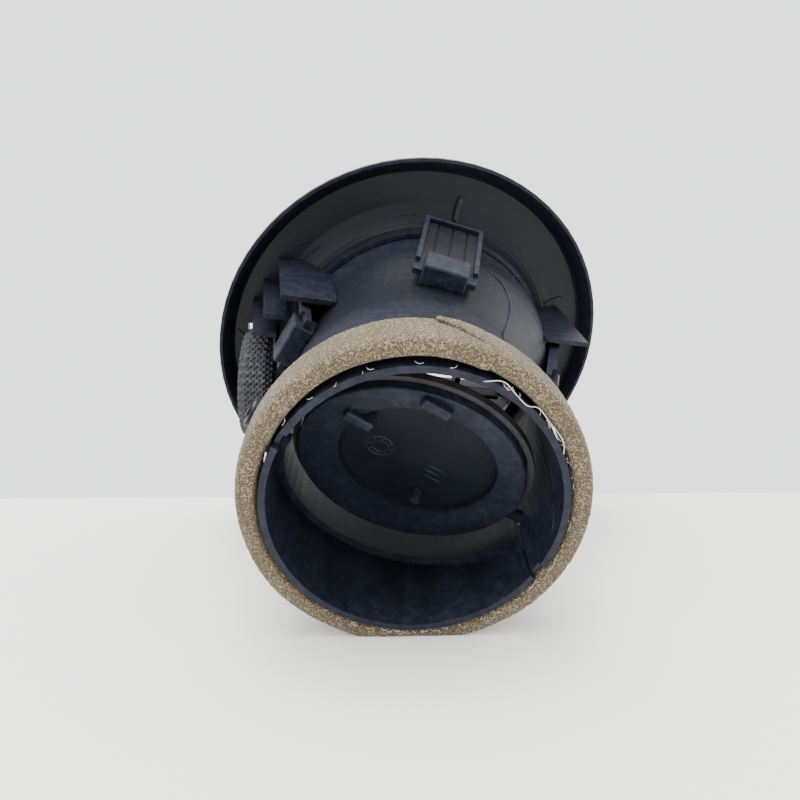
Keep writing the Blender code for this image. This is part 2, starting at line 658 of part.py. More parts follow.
def build_tie_bar(barrel_frame, material):
    near = TIE_OFFSET + RUNNING
    far = near + 0.0018
    depth = LOUVRE_AXIS + TIE_ARM
    end = louvre_levels()[-1] + TIE_WIDTH / 2
    outline = [(-end, -TIE_WIDTH / 2), (end, -TIE_WIDTH / 2), (end, TIE_WIDTH / 2), (-end, TIE_WIDTH / 2)]
    bar = prism("tie_bar", [(a, depth + b) for a, b in outline], near, far, barrel_frame, material, "X")
    for level in louvre_levels():
        hole = rod("hole", (near - 0.001, level, depth), (far + 0.001, level, depth),
                   TIE_PIN_RADIUS + RUNNING, barrel_frame, material, 12)
        combine(bar, hole, "DIFFERENCE")
    return smooth(bar)


def build_finger_tab(barrel_frame, material):
    """Tab that grips the front edge of the middle louvre."""
    half = 0.0045
    wall = 0.0012
    inside = LOUVRE_THICKNESS / 2 + GAP
    front = LOUVRE_AXIS - LOUVRE_NOSE - GAP
    tab = block("finger_tab", (-half, -inside - wall, front - 0.0022), (half, inside + wall, front + 0.0034),
                barrel_frame, material, 0.0004)
    room = block("room", (-half - 0.001, -inside, front), (half + 0.001, inside, front + 0.005),
                 barrel_frame, material)
    return combine(tab, room, "DIFFERENCE")


# ---------------------------------------------------------------- resting pose

def lean_turn(lean):
    """Turn of the duct frame when its mouth faces -Y and looks down by lean."""
    return Quaternion((1, 0, 0), math.pi / 2 + lean)


def heights_at(lean):
    """Height of the duct mouth's centre above the foam's and above the bezel's lowest point."""
    turn = lean_turn(lean)
    above_foam = (DUCT_OUTER_RADIUS + FOAM_SQUASHED) * math.cos(lean)
    centre = turn @ BEZEL_CENTRE
    axis = turn @ BEZEL_TURN @ Vector((0, 0, 1))
    above_bezel = BEZEL_RADIUS * math.sqrt(1 - axis.z ** 2) - centre.z
    return above_foam, above_bezel


def resting_lean():
    """Lean at which the foam and the rim of the bezel touch the ground together."""
    low, high = 0.0, math.radians(60)
    for _ in range(50):
        lean = (low + high) / 2
        above_foam, above_bezel = heights_at(lean)
        if above_bezel > above_foam:
            low = lean
        else:
            high = lean
    return lean


def centre_over_origin(rest_frame):
    """Move the whole part so that the middle of its box stands over the origin, on the ground."""
    bpy.context.view_layer.update()
    corners = []
    for made in bpy.data.objects:
        if made.type == "MESH":
            corners += [made.matrix_world @ vertex.co for vertex in made.data.vertices]
    for axis in (0, 1):
        values = [corner[axis] for corner in corners]
        rest_frame.location[axis] -= (min(values) + max(values)) / 2
    rest_frame.location[2] -= min(corner[2] for corner in corners)
    bpy.context.view_layer.update()


# ---------------------------------------------------------------- assembly

def main():
    clear_scene()
    shell = plastic("housing_plastic", (0.030, 0.034, 0.050), 0.42)
    face = plastic("bezel_plastic", (0.026, 0.030, 0.044), 0.38)
    moving = plastic("moving_plastic", (0.045, 0.048, 0.060), 0.45)
    grip = plastic("grip_plastic", (0.075, 0.078, 0.088), 0.55)
    trim = plastic("trim_plastic", (0.020, 0.021, 0.026), 0.25)
    foam = plastic("foam", (0.36, 0.31, 0.23), 0.95)
    seal = plastic("seal_rubber", (0.018, 0.018, 0.020), 0.80)

    lean = resting_lean()
    height = heights_at(lean)[0]
    rest_frame = make_frame("rest_frame", None, (0, 0, height), lean_turn(lean))
    bezel_frame = make_frame("bezel_frame", rest_frame, BEZEL_CENTRE, BEZEL_TURN)
    flap_pivot = Vector((0, 0, -FLAP_DEPTH))
    flap_root = make_frame("flap_root", rest_frame, flap_pivot, flap_turn(0.0))
    flap_frame = make_frame("flap_frame", rest_frame, flap_pivot, flap_turn(FLAP_CLOSED))
    hand_turn = Quaternion((0, 0, 1), -HAND_ROLL)
    wheel_turn = Quaternion((0, 0, 1), -WHEEL_ROLL)
    wheel_middle = hand_turn @ Vector((-WHEEL_REACH, WHEEL_DROP, WHEEL_DEPTH))
    wheel_centre = BEZEL_CENTRE + BEZEL_TURN @ wheel_middle
    wheel_frame = make_frame("wheel_frame", rest_frame, wheel_centre, wheel_turn)
    barrel_frame = make_frame("barrel_frame", bezel_frame, (0, 0, 0), hand_turn)
    bpy.context.view_layer.update()

    build_housing(rest_frame, shell)
    build_pin_keepers(flap_root, shell)
    build_bezel(bezel_frame, wheel_frame, face)
    build_trim_ring(bezel_frame, trim)
    build_retainer_ring(bezel_frame, shell)
    build_foam(rest_frame, height, lean_turn(lean), foam)
    build_flap(flap_frame, moving, seal)
    build_flap_crank(flap_root, moving)
    build_thumbwheel(wheel_frame, grip)
    build_wheel_bracket(wheel_frame, shell)
    wheel_place = Matrix.Translation(wheel_centre) @ wheel_turn.to_matrix().to_4x4()
    flap_place = Matrix.Translation(flap_pivot) @ flap_turn(0.0).to_matrix().to_4x4()
    build_link_rod(rest_frame, wheel_place, flap_place, moving)
    for name, turn in ARM_TURNS.items():
        build_snap_arm(name, turn, rest_frame, face)
    build_ribs({"bezel": bezel_frame, "rest": rest_frame}, face)
    build_barrel(barrel_frame, trim)
    for index, level in enumerate(louvre_levels(), 1):
        build_louvre(index, level, barrel_frame, moving)
    build_tie_bar(barrel_frame, moving)
    build_finger_tab(barrel_frame, grip)
    centre_over_origin(rest_frame)


main()
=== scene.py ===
"""A round dashboard air vent lying on its bezel, seen into its duct: looks, light and camera."""
import json
import math
import random

import bpy
import bmesh
from mathutils import Euler, Matrix, Vector, noise
from mathutils.bvhtree import BVHTree


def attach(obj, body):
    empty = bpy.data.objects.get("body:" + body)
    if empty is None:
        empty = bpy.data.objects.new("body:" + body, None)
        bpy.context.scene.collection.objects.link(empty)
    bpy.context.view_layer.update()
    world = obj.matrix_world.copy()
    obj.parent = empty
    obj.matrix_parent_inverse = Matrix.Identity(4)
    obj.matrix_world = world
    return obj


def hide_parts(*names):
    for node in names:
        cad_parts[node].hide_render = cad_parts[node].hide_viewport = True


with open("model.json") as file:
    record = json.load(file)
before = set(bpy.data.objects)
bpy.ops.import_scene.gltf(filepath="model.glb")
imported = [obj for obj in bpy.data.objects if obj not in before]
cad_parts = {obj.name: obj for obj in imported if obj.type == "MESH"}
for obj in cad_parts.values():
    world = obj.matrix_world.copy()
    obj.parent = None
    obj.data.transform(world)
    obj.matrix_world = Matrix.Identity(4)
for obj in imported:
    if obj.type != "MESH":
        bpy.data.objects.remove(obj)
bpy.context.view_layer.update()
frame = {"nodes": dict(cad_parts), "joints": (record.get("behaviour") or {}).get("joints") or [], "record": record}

MM = 0.001

# Frames of the part, from its own mounts and joints.
MOUNTS = {mount["name"]: mount for mount in frame["record"]["mounts"]}
JOINTS = {joint["name"]: joint for joint in frame["joints"]}
DUCT_RADIUS = 32.5 * MM                     # outside of the bare collar
FOAM_THICKNESS = 5.2 * MM
FOAM_WIDTH = 13.0 * MM
FOAM_BACK_SET = 0.4 * MM                    # from the mouth to the strip's near face
BEZEL_ACROSS = (0.989016, 0.142801, 0.03815)    # the bezel's level axis
FLAP_OUT = (-0.218928, -0.782297, -0.583165)    # the way the closed flap faces
RESTING = 0.12 * MM                         # the squashed foam over the table
FLAP_HALF = 0.9 * MM                        # half of the flap's thickness

# Camera, relative to the middle of the duct mouth.
CAMERA_OFFSET = Vector((-6.54, -138.5, 49.0)) * MM
CAMERA_TILT_DOWN = 10.5
CAMERA_PAN = -1.42
CAMERA_LENS = 31.5

TABLE_EDGE = 59.0 * MM                      # the table's far edge, on Y

random.seed(7)


# ---------------------------------------------------------------- frames

def axes_frame(origin, out, across):
    """Frame with +Z along out and +X as near to across as it can be."""
    z_axis = Vector(out).normalized()
    x_axis = (Vector(across) - Vector(across).dot(z_axis) * z_axis).normalized()
    y_axis = z_axis.cross(x_axis)
    matrix = Matrix((x_axis, y_axis, z_axis)).transposed().to_4x4()
    return Matrix.Translation(Vector(origin)) @ matrix


def duct_frame():
    collar = MOUNTS["duct_collar"]
    return axes_frame(collar["pos_m"], collar["axis"], (1, 0, 0))


def bezel_frame():
    turn = JOINTS["barrel_turn"]
    return axes_frame(turn["pos_m"], turn["axis"], BEZEL_ACROSS)


def flap_frame():
    turn = JOINTS["flap_turn"]
    return axes_frame(turn["pos_m"], FLAP_OUT, turn["axis"])


DUCT = duct_frame()
BEZEL = bezel_frame()
FLAP = flap_frame()


def polar(place, radius, degrees, height):
    """Point of a frame, given round its axis, in millimetres and degrees."""
    turn = math.radians(degrees)
    return place @ (Vector((radius * math.cos(turn), radius * math.sin(turn), height)) * MM)


def solid_tree(node):
    """Search tree of a node's faces at rest."""
    mesh = frame["nodes"][node].data
    corners = [vertex.co.copy() for vertex in mesh.vertices]
    faces = [tuple(polygon.vertices) for polygon in mesh.polygons]
    return BVHTree.FromPolygons(corners, faces)


TREES = {node: solid_tree(node) for node in ("bezel", "housing")}


def drop(node, start, direction):
    """Where a straight line from start meets a node's surface."""
    place = TREES[node].ray_cast(start, direction)[0]
    return place if place is not None else start


# ---------------------------------------------------------------- materials

def new_material(name):
    material = bpy.data.materials.new(name)
    material.use_nodes = True
    tree = material.node_tree
    tree.nodes.clear()
    output = tree.nodes.new("ShaderNodeOutputMaterial")
    shader = tree.nodes.new("ShaderNodeBsdfPrincipled")
    tree.links.new(shader.outputs["BSDF"], output.inputs["Surface"])
    return material, tree, shader


def noise_node(tree, place, size, detail=3.0, roughness=0.5, distortion=0.0):
    """Noise whose features are about size metres across."""
    node = tree.nodes.new("ShaderNodeTexNoise")
    node.inputs["Scale"].default_value = 1.0 / size
    node.inputs["Detail"].default_value = detail
    node.inputs["Roughness"].default_value = roughness
    node.inputs["Distortion"].default_value = distortion
    tree.links.new(place, node.inputs["Vector"])
    return node.outputs["Fac"]


def cell_node(tree, place, size, feature="F1"):
    node = tree.nodes.new("ShaderNodeTexVoronoi")
    node.feature = feature
    node.inputs["Scale"].default_value = 1.0 / size
    tree.links.new(place, node.inputs["Vector"])
    return node.outputs["Distance"]


def ramp_node(tree, value, stops):
    """Colour ramp; each stop is a position and a colour or a grey."""
    node = tree.nodes.new("ShaderNodeValToRGB")
    elements = node.color_ramp.elements
    while len(elements) < len(stops):
        elements.new(0.5)
    for element, (position, colour) in zip(elements, stops):
        shade = (colour,) * 3 if isinstance(colour, (int, float)) else colour
        element.position = position
        element.color = (*shade, 1.0)
    tree.links.new(value, node.inputs["Fac"])
    return node.outputs["Color"]


def mix_node(tree, factor, first, second, blend="MIX"):
    node = tree.nodes.new("ShaderNodeMix")
    node.data_type = "RGBA"
    node.blend_type = blend
    for socket, value in ((node.inputs[0], factor), (node.inputs[6], first), (node.inputs[7], second)):
        if isinstance(value, bpy.types.NodeSocket):
            tree.links.new(value, socket)
        elif socket.type == "VALUE":
            socket.default_value = value
        else:
            socket.default_value = (*value, 1.0)
    return node.outputs[2]


def maths_node(tree, operation, first, second):
    node = tree.nodes.new("ShaderNodeMath")
    node.operation = operation
    for socket, value in zip(node.inputs, (first, second)):
        if isinstance(value, bpy.types.NodeSocket):
            tree.links.new(value, socket)
        else:
            socket.default_value = value
    return node.outputs[0]


def bump_node(tree, height, distance, strength, under=None):
    node = tree.nodes.new("ShaderNodeBump")
    node.inputs["Distance"].default_value = distance
    node.inputs["Strength"].default_value = strength
    tree.links.new(height, node.inputs["Height"])
    if under is not None:
        tree.links.new(under, node.inputs["Normal"])
    return node.outputs["Normal"]


def tint(colour, factor):
    return tuple(min(1.0, channel * factor) for channel in colour)


def moulded_plastic(name, colour, roughness, grain, depth, wear_and_highlight_amount=0.5, dust=0.08, specular=0.16):
    """Dark moulded plastic: grain, uneven sheen, lighter edges that are partly wear and partly a painted edge
    highlight, and dust on what faces up.
    """
    material, tree, shader = new_material(name)
    place = tree.nodes.new("ShaderNodeTexCoord").outputs["Object"]
    geometry = tree.nodes.new("ShaderNodeNewGeometry")
    patches = noise_node(tree, place, 14 * MM, 4.0)
    clouded = ramp_node(tree, patches, [(0.3, tint(colour, 0.82)), (0.7, tint(colour, 1.22))])
    # Convex edges lightened in the colour, broken up by noise: partly edge wear, partly a painted highlight where
    # the edges catch the light.
    edges = ramp_node(tree, geometry.outputs["Pointiness"], [(0.50, 0.0), (0.56, wear_and_highlight_amount)])
    edge_breakup = ramp_node(tree, noise_node(tree, place, 2.2 * MM, 5.0, 0.65), [(0.42, 0.25), (0.68, 1.0)])
    wear_and_edge_highlight = maths_node(tree, "MULTIPLY", edges, edge_breakup)
    wear_and_highlight_colour = mix_node(tree, wear_and_edge_highlight, clouded, tint(colour, 7.0))
    facing = tree.nodes.new("ShaderNodeSeparateXYZ")
    tree.links.new(geometry.outputs["Normal"], facing.inputs[0])
    upward = ramp_node(tree, facing.outputs["Z"], [(0.25, 0.0), (0.95, 1.0)])
    specks = ramp_node(tree, noise_node(tree, place, 0.9 * MM, 6.0, 0.75), [(0.50, 0.0), (0.74, dust)])
    dusty = maths_node(tree, "MULTIPLY", upward, specks)
    tree.links.new(mix_node(tree, dusty, wear_and_highlight_colour, (0.16, 0.155, 0.15)), shader.inputs["Base Color"])
    sheen = ramp_node(tree, patches, [(0.25, roughness - 0.07), (0.75, roughness + 0.09)])
    rubbed = mix_node(tree, wear_and_edge_highlight, sheen, (roughness - 0.12,) * 3)
    tree.links.new(rubbed, shader.inputs["Roughness"])
    broad = bump_node(tree, patches, 0.25 * MM, 0.12)
    pebbles = cell_node(tree, place, grain)
    grained = bump_node(tree, pebbles, depth, 0.5, broad)
    tree.links.new(bump_node(tree, noise_node(tree, place, grain * 0.6, 3.0), depth, 0.3, grained),
                   shader.inputs["Normal"])
    shader.inputs["Specular IOR Level"].default_value = specular
    return material


HATCH_LEAN = 42                             # degrees of each set of ridges
WAVE_SCALE = 0.314                          # a wave texture's scale for ridges one metre apart


def hatched_plastic(name, colour, roughness, pitch):
    """Thumbwheel plastic: a fine cross-hatch of ribs round the rim, with a painted highlight on the rib tops."""
    material, tree, shader = new_material(name)
    place = tree.nodes.new("ShaderNodeTexCoord").outputs["Object"]
    height = None
    for lean in (-HATCH_LEAN, HATCH_LEAN):
        turned = tree.nodes.new("ShaderNodeMapping")
        turned.inputs["Rotation"].default_value = Euler((0, math.radians(lean), 0))
        tree.links.new(place, turned.inputs["Vector"])
        wave = tree.nodes.new("ShaderNodeTexWave")
        wave.bands_direction = "Z"
        wave.inputs["Scale"].default_value = WAVE_SCALE / pitch
        tree.links.new(turned.outputs[0], wave.inputs["Vector"])
        ridges = wave.outputs["Fac"]
        height = ridges if height is None else maths_node(tree, "MULTIPLY", height, ridges)
    patches = noise_node(tree, place, 6 * MM, 4.0)
    base = ramp_node(tree, patches, [(0.3, tint(colour, 0.8)), (0.7, tint(colour, 1.3))])
    # Painted highlight: the tops of the ribs are lightened in the colour as if lit.
    painted_rib_highlight = ramp_node(tree, height, [(0.35, 0.0), (0.9, 0.5)])
    tree.links.new(mix_node(tree, painted_rib_highlight, base, tint(colour, 3.6)), shader.inputs["Base Color"])
    tree.links.new(ramp_node(tree, patches, [(0.3, roughness - 0.06), (0.7, roughness + 0.08)]),
                   shader.inputs["Roughness"])
    fine = bump_node(tree, noise_node(tree, place, 0.3 * MM), 0.05 * MM, 0.4)
    tree.links.new(bump_node(tree, height, 0.35 * MM, 0.9, fine), shader.inputs["Normal"])
    return material


def open_cell_foam(name):
    """Tan foam: dark open cells, light cell walls, broad stains and a fuzzy sheen."""
    material, tree, shader = new_material(name)
    place = tree.nodes.new("ShaderNodeTexCoord").outputs["Object"]
    cells = cell_node(tree, place, 0.42 * MM)
    small = noise_node(tree, place, 0.30 * MM, 4.0, 0.7)
    both = maths_node(tree, "ADD", maths_node(tree, "MULTIPLY", cells, 0.55),
                      maths_node(tree, "MULTIPLY", small, 0.55))
    speckle = ramp_node(tree, both, [(0.28, (0.018, 0.012, 0.007)), (0.42, (0.060, 0.044, 0.026)),
                                     (0.56, (0.115, 0.087, 0.054)), (0.76, (0.27, 0.215, 0.145))])
    stains = noise_node(tree, place, 9 * MM, 5.0, 0.6)
    stained = mix_node(tree, ramp_node(tree, stains, [(0.35, 0.42), (0.62, 0.0)]), speckle,
                       (0.062, 0.046, 0.028))
    tree.links.new(stained, shader.inputs["Base Color"])
    tree.links.new(ramp_node(tree, small, [(0.3, 0.86), (0.7, 1.0)]), shader.inputs["Roughness"])
    coarse = bump_node(tree, small, 0.25 * MM, 0.6)
    tree.links.new(bump_node(tree, cells, 0.22 * MM, 0.7, coarse), shader.inputs["Normal"])
    shader.inputs["Specular IOR Level"].default_value = 0.15
    shader.inputs["Sheen Weight"].default_value = 0.08
    shader.inputs["Sheen Roughness"].default_value = 0.6
    return material


def spun_thread(name):
    """Off-white thread with darker twists."""
    material, tree, shader = new_material(name)
    place = tree.nodes.new("ShaderNodeTexCoord").outputs["Object"]
    twist = noise_node(tree, place, 0.4 * MM, 3.0)
    tree.links.new(ramp_node(tree, twist, [(0.3, (0.34, 0.31, 0.25)), (0.7, (0.66, 0.63, 0.56))]),
                   shader.inputs["Base Color"])
    tree.links.new(bump_node(tree, twist, 0.1 * MM, 0.6), shader.inputs["Normal"])
    shader.inputs["Roughness"].default_value = 0.85
    return material


def seal_rubber(name):
    material, tree, shader = new_material(name)
    place = tree.nodes.new("ShaderNodeTexCoord").outputs["Object"]
    bloom = noise_node(tree, place, 5 * MM, 5.0, 0.6)
    tree.links.new(ramp_node(tree, bloom, [(0.35, (0.010, 0.010, 0.011)), (0.75, (0.030, 0.030, 0.032))]),
                   shader.inputs["Base Color"])
    tree.links.new(ramp_node(tree, bloom, [(0.3, 0.62), (0.7, 0.82)]), shader.inputs["Roughness"])
    tree.links.new(bump_node(tree, noise_node(tree, place, 0.5 * MM), 0.08 * MM, 0.4),
                   shader.inputs["Normal"])
    return material


def table_paint(name, colour):
    """Pale matt table top with a faint mottle."""
    material, tree, shader = new_material(name)
    place = tree.nodes.new("ShaderNodeTexCoord").outputs["Object"]
    mottle = noise_node(tree, place, 60 * MM, 4.0)
    tree.links.new(ramp_node(tree, mottle, [(0.3, tint(colour, 0.985)), (0.7, colour)]),
                   shader.inputs["Base Color"])
    shader.inputs["Roughness"].default_value = 0.7
    return material


BLUE_BLACK = (0.0042, 0.0050, 0.0088)
MATERIALS = {
    "housing_plastic": moulded_plastic("housing_plastic", BLUE_BLACK, 0.42, 0.55 * MM, 0.03 * MM),
    "bezel_plastic": moulded_plastic("bezel_plastic", tint(BLUE_BLACK, 0.85), 0.40, 0.8 * MM, 0.035 * MM),
    "moving_plastic": moulded_plastic("moving_plastic", tint(BLUE_BLACK, 1.25), 0.44, 0.5 * MM, 0.03 * MM),
    "grip_plastic": hatched_plastic("grip_plastic", tint(BLUE_BLACK, 1.1), 0.5, 1.15 * MM),
    "trim_plastic": moulded_plastic("trim_plastic", tint(BLUE_BLACK, 0.9), 0.27, 0.9 * MM, 0.015 * MM,
                                    specular=0.4),
    "foam": open_cell_foam("foam"),
    "seal_rubber": seal_rubber("seal_rubber"),
}
THREAD = spun_thread("thread")


def dress_nodes():
    """Gives every CAD node the material of its slot."""
    slots = {part["node"]: part["material_slot"] for part in frame["record"]["subparts"]}
    for node, piece in frame["nodes"].items():
        piece.data.materials.clear()
        piece.data.materials.append(MATERIALS[slots[node]])


# ---------------------------------------------------------------- pieces

def link_mesh(name, corners, faces, material, body):
    """Smooth mesh piece that rides on a body."""
    mesh = bpy.data.meshes.new(name)
    mesh.from_pydata([tuple(corner) for corner in corners], [], faces)
    mesh.update()
    shape = bmesh.new()
    shape.from_mesh(mesh)
    bmesh.ops.recalc_face_normals(shape, faces=shape.faces)
    shape.to_mesh(mesh)
    shape.free()
    mesh.shade_smooth()
    mesh.materials.append(material)
    piece = bpy.data.objects.new(name, mesh)
    bpy.context.scene.collection.objects.link(piece)
    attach(piece, body)
    return piece


def tube_rings(path, radius, sides, taper=False):
    """Corners and faces of a closed round tube along a path."""
    corners, faces = [], []
    last = len(path) - 1
    side = Vector((0.3, 0.5, 0.81))
    for i, point in enumerate(path):
        along = (path[min(i + 1, last)] - path[max(i - 1, 0)]).normalized()
        side = (side - side.dot(along) * along).normalized()
        across = along.cross(side)
        reach = radius * (0.35 if taper and i in (0, last) else 1.0)
        for k in range(sides):
            turn = 2 * math.pi * k / sides
            corners.append(point + reach * (math.cos(turn) * side + math.sin(turn) * across))
    for i in range(last):
        for k in range(sides):
            j = (k + 1) % sides
            faces.append((i * sides + k, i * sides + j, (i + 1) * sides + j, (i + 1) * sides + k))
    faces.append(tuple(range(sides)))
    faces.append(tuple(last * sides + k for k in range(sides)))
    return corners, faces


def curved(points, steps):
    """Catmull-Rom path through the points."""
    path = []
    ends = [2 * points[0] - points[1], *points, 2 * points[-1] - points[-2]]
    for i in range(1, len(ends) - 2):
        a, b, c, d = ends[i - 1:i + 3]
        for k in range(steps):
            t = k / steps
            path.append(0.5 * (2 * b + (c - a) * t + (2 * a - 5 * b + 4 * c - d) * t * t
                               + (3 * b - a - 3 * c + d) * t ** 3))
    return path + [points[-1]]


def soften(value):
    """Smooth step from 0 to 1."""
    value = max(0.0, min(1.0, value))
    return value * value * (3 - 2 * value)


def superellipse(turn, power):
    """Point of a rounded square of half-width 1."""
    x, y = math.cos(turn), math.sin(turn)
    return (math.copysign(abs(x) ** (2 / power), x), math.copysign(abs(y) ** (2 / power), y))


# The strip's two ends meet at the top in a long slanting cut, the first end lying in front.
STRIP_START = 66.0
CUT_ANGLE = 18.0                            # degrees that the slanting cut runs round
STRIP_END = STRIP_START + 360.0 + CUT_ANGLE
CUT_GAP = 0.12 * MM
TIP_WIDTH = 1.2 * MM
STRIP_STEPS = 520
STRIP_SIDES = 72


def cut_height(share):
    """Where the slanting cut crosses the strip's width, for a share of its run."""
    front = -FOAM_BACK_SET - TIP_WIDTH
    back = -FOAM_BACK_SET - FOAM_WIDTH + TIP_WIDTH
    return front + (back - front) * share ** 0.8


def stand_off(degrees):
    """How far the strip has come away from the collar, most of it at the upper side."""
    away = abs((degrees - 92.0 + 180.0) % 360.0 - 180.0)
    return 0.75 * MM * soften((58.0 - away) / 40.0)


def strip_section(degrees):
    """Inner radius, thickness, near and far edge and end rounding of the strip at one angle."""
    loose = stand_off(degrees)
    inner = DUCT_RADIUS + 0.35 * MM + loose
    thickness = FOAM_THICKNESS - 0.35 * MM - loose * 0.62
    near = -FOAM_BACK_SET
    far = near - FOAM_WIDTH
    first = (degrees - STRIP_START) / CUT_ANGLE
    if first < 1:
        far = cut_height(first) + CUT_GAP
        near += 0.55 * MM * (1 - first)
    last = (degrees - STRIP_START - 360.0) / CUT_ANGLE
    if last > 0:
        near = cut_height(last) - CUT_GAP
        inner += 0.30 * MM * soften(last * 2)
    from_start = math.radians(degrees - STRIP_START) * inner / (2.2 * MM)
    from_end = math.radians(STRIP_END - degrees) * inner / (0.9 * MM)
    rounding = 1.0
    for share in (from_start, from_end):
        if share < 1:
            rounding = math.sqrt(max(0.0, 1 - (1 - share) ** 2))
    return inner, thickness, near, far, max(rounding, 0.03)


def strip_point(degrees, turn):
    inner, thickness, near, far, rounding = strip_section(degrees)
    across, along = superellipse(turn, 4.2)
    width = near - far
    radius = inner + thickness / 2 + across * thickness / 2 * (0.6 + 0.4 * rounding)
    height = (near + far) / 2 + along * width / 2 * rounding
    angle = math.radians(degrees)
    point = DUCT @ Vector((radius * math.cos(angle), radius * math.sin(angle), height))
    push = max(across, 0.0)
    outward = DUCT.to_3x3() @ Vector((math.cos(angle) * push, math.sin(angle) * push, along))
    swell = noise.noise(point * 55) * 0.28 * MM
    pits = noise.turbulence(point * 1500, 2, False) * 0.12 * MM
    point += outward * (swell - pits) * rounding
    if point.z < RESTING:
        point.z = RESTING + 0.02 * MM * noise.noise(point * 400)
    return point


def build_foam_strip():
    """Foam wrapped round the collar, lapped at the top and squashed flat where it rests."""
    corners, faces = [], []
    for i in range(STRIP_STEPS + 1):
        degrees = STRIP_START + (STRIP_END - STRIP_START) * i / STRIP_STEPS
        corners += [strip_point(degrees, 2 * math.pi * k / STRIP_SIDES) for k in range(STRIP_SIDES)]
    for i in range(STRIP_STEPS):
        for k in range(STRIP_SIDES):
            j = (k + 1) % STRIP_SIDES
            faces.append((i * STRIP_SIDES + k, i * STRIP_SIDES + j,
                          (i + 1) * STRIP_SIDES + j, (i + 1) * STRIP_SIDES + k))
    faces.append(tuple(range(STRIP_SIDES)))
    faces.append(tuple(STRIP_STEPS * STRIP_SIDES + k for k in range(STRIP_SIDES)))
    strip = link_mesh("foam_strip", corners, faces, MATERIALS["foam"], "shell")
    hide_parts("foam_seal")
    return strip


def build_thread():
    """Frayed thread caught along the strip's inner edge, at the upper right."""
    stops = [(31.9, 67), (33.6, 61), (32.6, 54), (32.3, 49),
             (33.4, 45), (33.2, 38.5), (33.4, 29.5), (32.4, 24.5)]
    points = [polar(DUCT, radius, degrees, 0.35 + 0.25 * (i % 2))
              for i, (radius, degrees) in enumerate(stops)]
    corners, faces = tube_rings(curved(points, 8), 0.11 * MM, 8, taper=True)
    link_mesh("frayed_thread", corners, faces, THREAD, "shell")


FIBRES = 74


def build_fibres():
    """Short loose fibres round the strip's inner edge, most of them at the right and below."""
    corners, faces = [], []
    for i in range(FIBRES):
        degrees = random.uniform(-125, 62) if i % 8 else random.uniform(62, 235)
        reach = random.uniform(0.7, 2.0)
        lean = random.uniform(-3.5, 3.5)
        root = random.uniform(32.7, 33.4)
        lift = random.uniform(0.2, 0.9)
        points = [polar(DUCT, root, degrees, -0.7),
                  polar(DUCT, root - 0.2, degrees + lean * 0.4, lift * 0.7),
                  polar(DUCT, root - 0.5 * reach + 0.4, degrees + lean, lift)]
        rings, sides = tube_rings(curved(points, 4), 0.045 * MM, 5, taper=True)
        faces += [tuple(len(corners) + k for k in side) for side in sides]
        corners += rings
    link_mesh("loose_fibres", corners, faces, THREAD, "shell")


def bezel_mark(name, ends, radius, lift=0.0):
    """Moulded line on the back of the bezel between two places given round its axis."""
    axis = BEZEL.to_3x3() @ Vector((0, 0, 1))
    steps = 10
    (near, first), (far, last) = ends
    path = []
    for i in range(steps + 1):
        share = i / steps
        start = polar(BEZEL, near + (far - near) * share, first + (last - first) * share, 14.0)
        path.append(drop("bezel", start, -axis) + axis * lift)
    corners, faces = tube_rings(path, radius, 10, taper=True)
    return link_mesh(name, corners, faces, MATERIALS["bezel_plastic"], "shell")


def build_bezel_marks():
    """Small ribs and mould lines on the bezel's back."""
    bezel_mark("locating_rib", ((43.6, 75.5), (50.8, 75.0)), 0.75 * MM, 0.55 * MM)
    bezel_mark("mould_line_top", ((44.6, 90.5), (44.6, 98.0)), 0.28 * MM)
    bezel_mark("mould_line_left", ((46.7, 138.0), (45.6, 128.5)), 0.30 * MM)
    bezel_mark("mould_rib_left", ((52.4, 137.5), (48.4, 130.0)), 0.38 * MM, 0.15 * MM)
    bezel_mark("mould_rib_right", ((45.0, 18.0), (51.6, 17.4)), 0.38 * MM, 0.15 * MM)
    bezel_mark("mould_tick_left", ((55.6, 170.0), (52.8, 172.5)), 0.32 * MM, 0.1 * MM)


def build_neck_ridge():
    """Parting ridge that runs down the right of the neck."""
    stops = [(56.0, -69.0), (47.8, -66.2), (42.6, -61.5), (41.2, -56.0),
             (42.0, -49.0), (44.8, -41.0), (45.5, -33.0)]
    path = []
    for degrees, height in stops:
        start = polar(DUCT, 60.0, degrees, height)
        middle = polar(DUCT, 0.0, degrees, height)
        path.append(drop("housing", start, (middle - start).normalized()))
    corners, faces = tube_rings(curved(path, 8), 0.42 * MM, 10, taper=True)
    link_mesh("parting_ridge", corners, faces, MATERIALS["housing_plastic"], "shell")


def ring_mark(name, centre, radius, thickness):
    """Moulded circle on the flap."""
    steps = 40
    corners, faces = [], []
    sides = 8
    for i in range(steps):
        turn = 2 * math.pi * i / steps
        for k in range(sides):
            lean = 2 * math.pi * k / sides
            reach = radius + thickness * math.cos(lean)
            place = Vector((centre[0] + reach * math.cos(turn), centre[1] + reach * math.sin(turn),
                            FLAP_HALF / MM + thickness * math.sin(lean)))
            corners.append(FLAP @ (place * MM))
    for i in range(steps):
        for k in range(sides):
            j, n = (k + 1) % sides, (i + 1) % steps
            faces.append((i * sides + k, i * sides + j, n * sides + j, n * sides + k))
    link_mesh(name, corners, faces, MATERIALS["moving_plastic"], "flap")


def bar_mark(name, first, last):
    """Moulded dash on the flap."""
    path = [FLAP @ (Vector((first[0] + (last[0] - first[0]) * i / 4, first[1] + (last[1] - first[1]) * i / 4,
                            FLAP_HALF / MM + 0.05)) * MM) for i in range(5)]
    corners, faces = tube_rings(path, 0.22 * MM, 8, taper=True)
    link_mesh(name, corners, faces, MATERIALS["moving_plastic"], "flap")


CLOCK_CENTRE = (-8.6, 0.6)                  # on the flap, in millimetres
CLOCK_TICKS = 8


